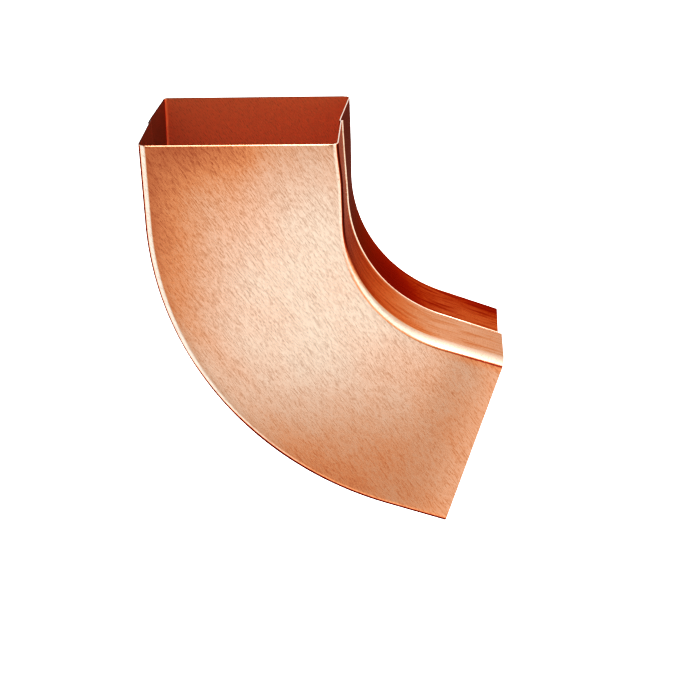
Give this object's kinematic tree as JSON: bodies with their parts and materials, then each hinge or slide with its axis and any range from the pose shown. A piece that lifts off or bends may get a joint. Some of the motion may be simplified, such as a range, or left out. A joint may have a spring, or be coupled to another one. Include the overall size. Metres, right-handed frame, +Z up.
{
  "type": "downspout elbow",
  "caption": "Smooth rectangular copper downspout elbow, pressed as lapped halves, that turns a rainwater pipe sideways along a wall.",
  "frame": {"origin": "centre of the inlet mouth, in the plane of its rim", "axes": "+Z up the inlet leg and out of the mouth, +X the side that the outlet turns to, +Y towards the wall"},
  "size_m": [0.1872, 0.0782, 0.2225],
  "materials": {
    "copper_sheet": "mill-finish copper sheet, satin with a fine diagonal grain"
  },
  "bodies": {
    "root": {"front_half_shell": "copper_sheet", "rear_half_shell": "copper_sheet"}
  },
  "joints": []
}
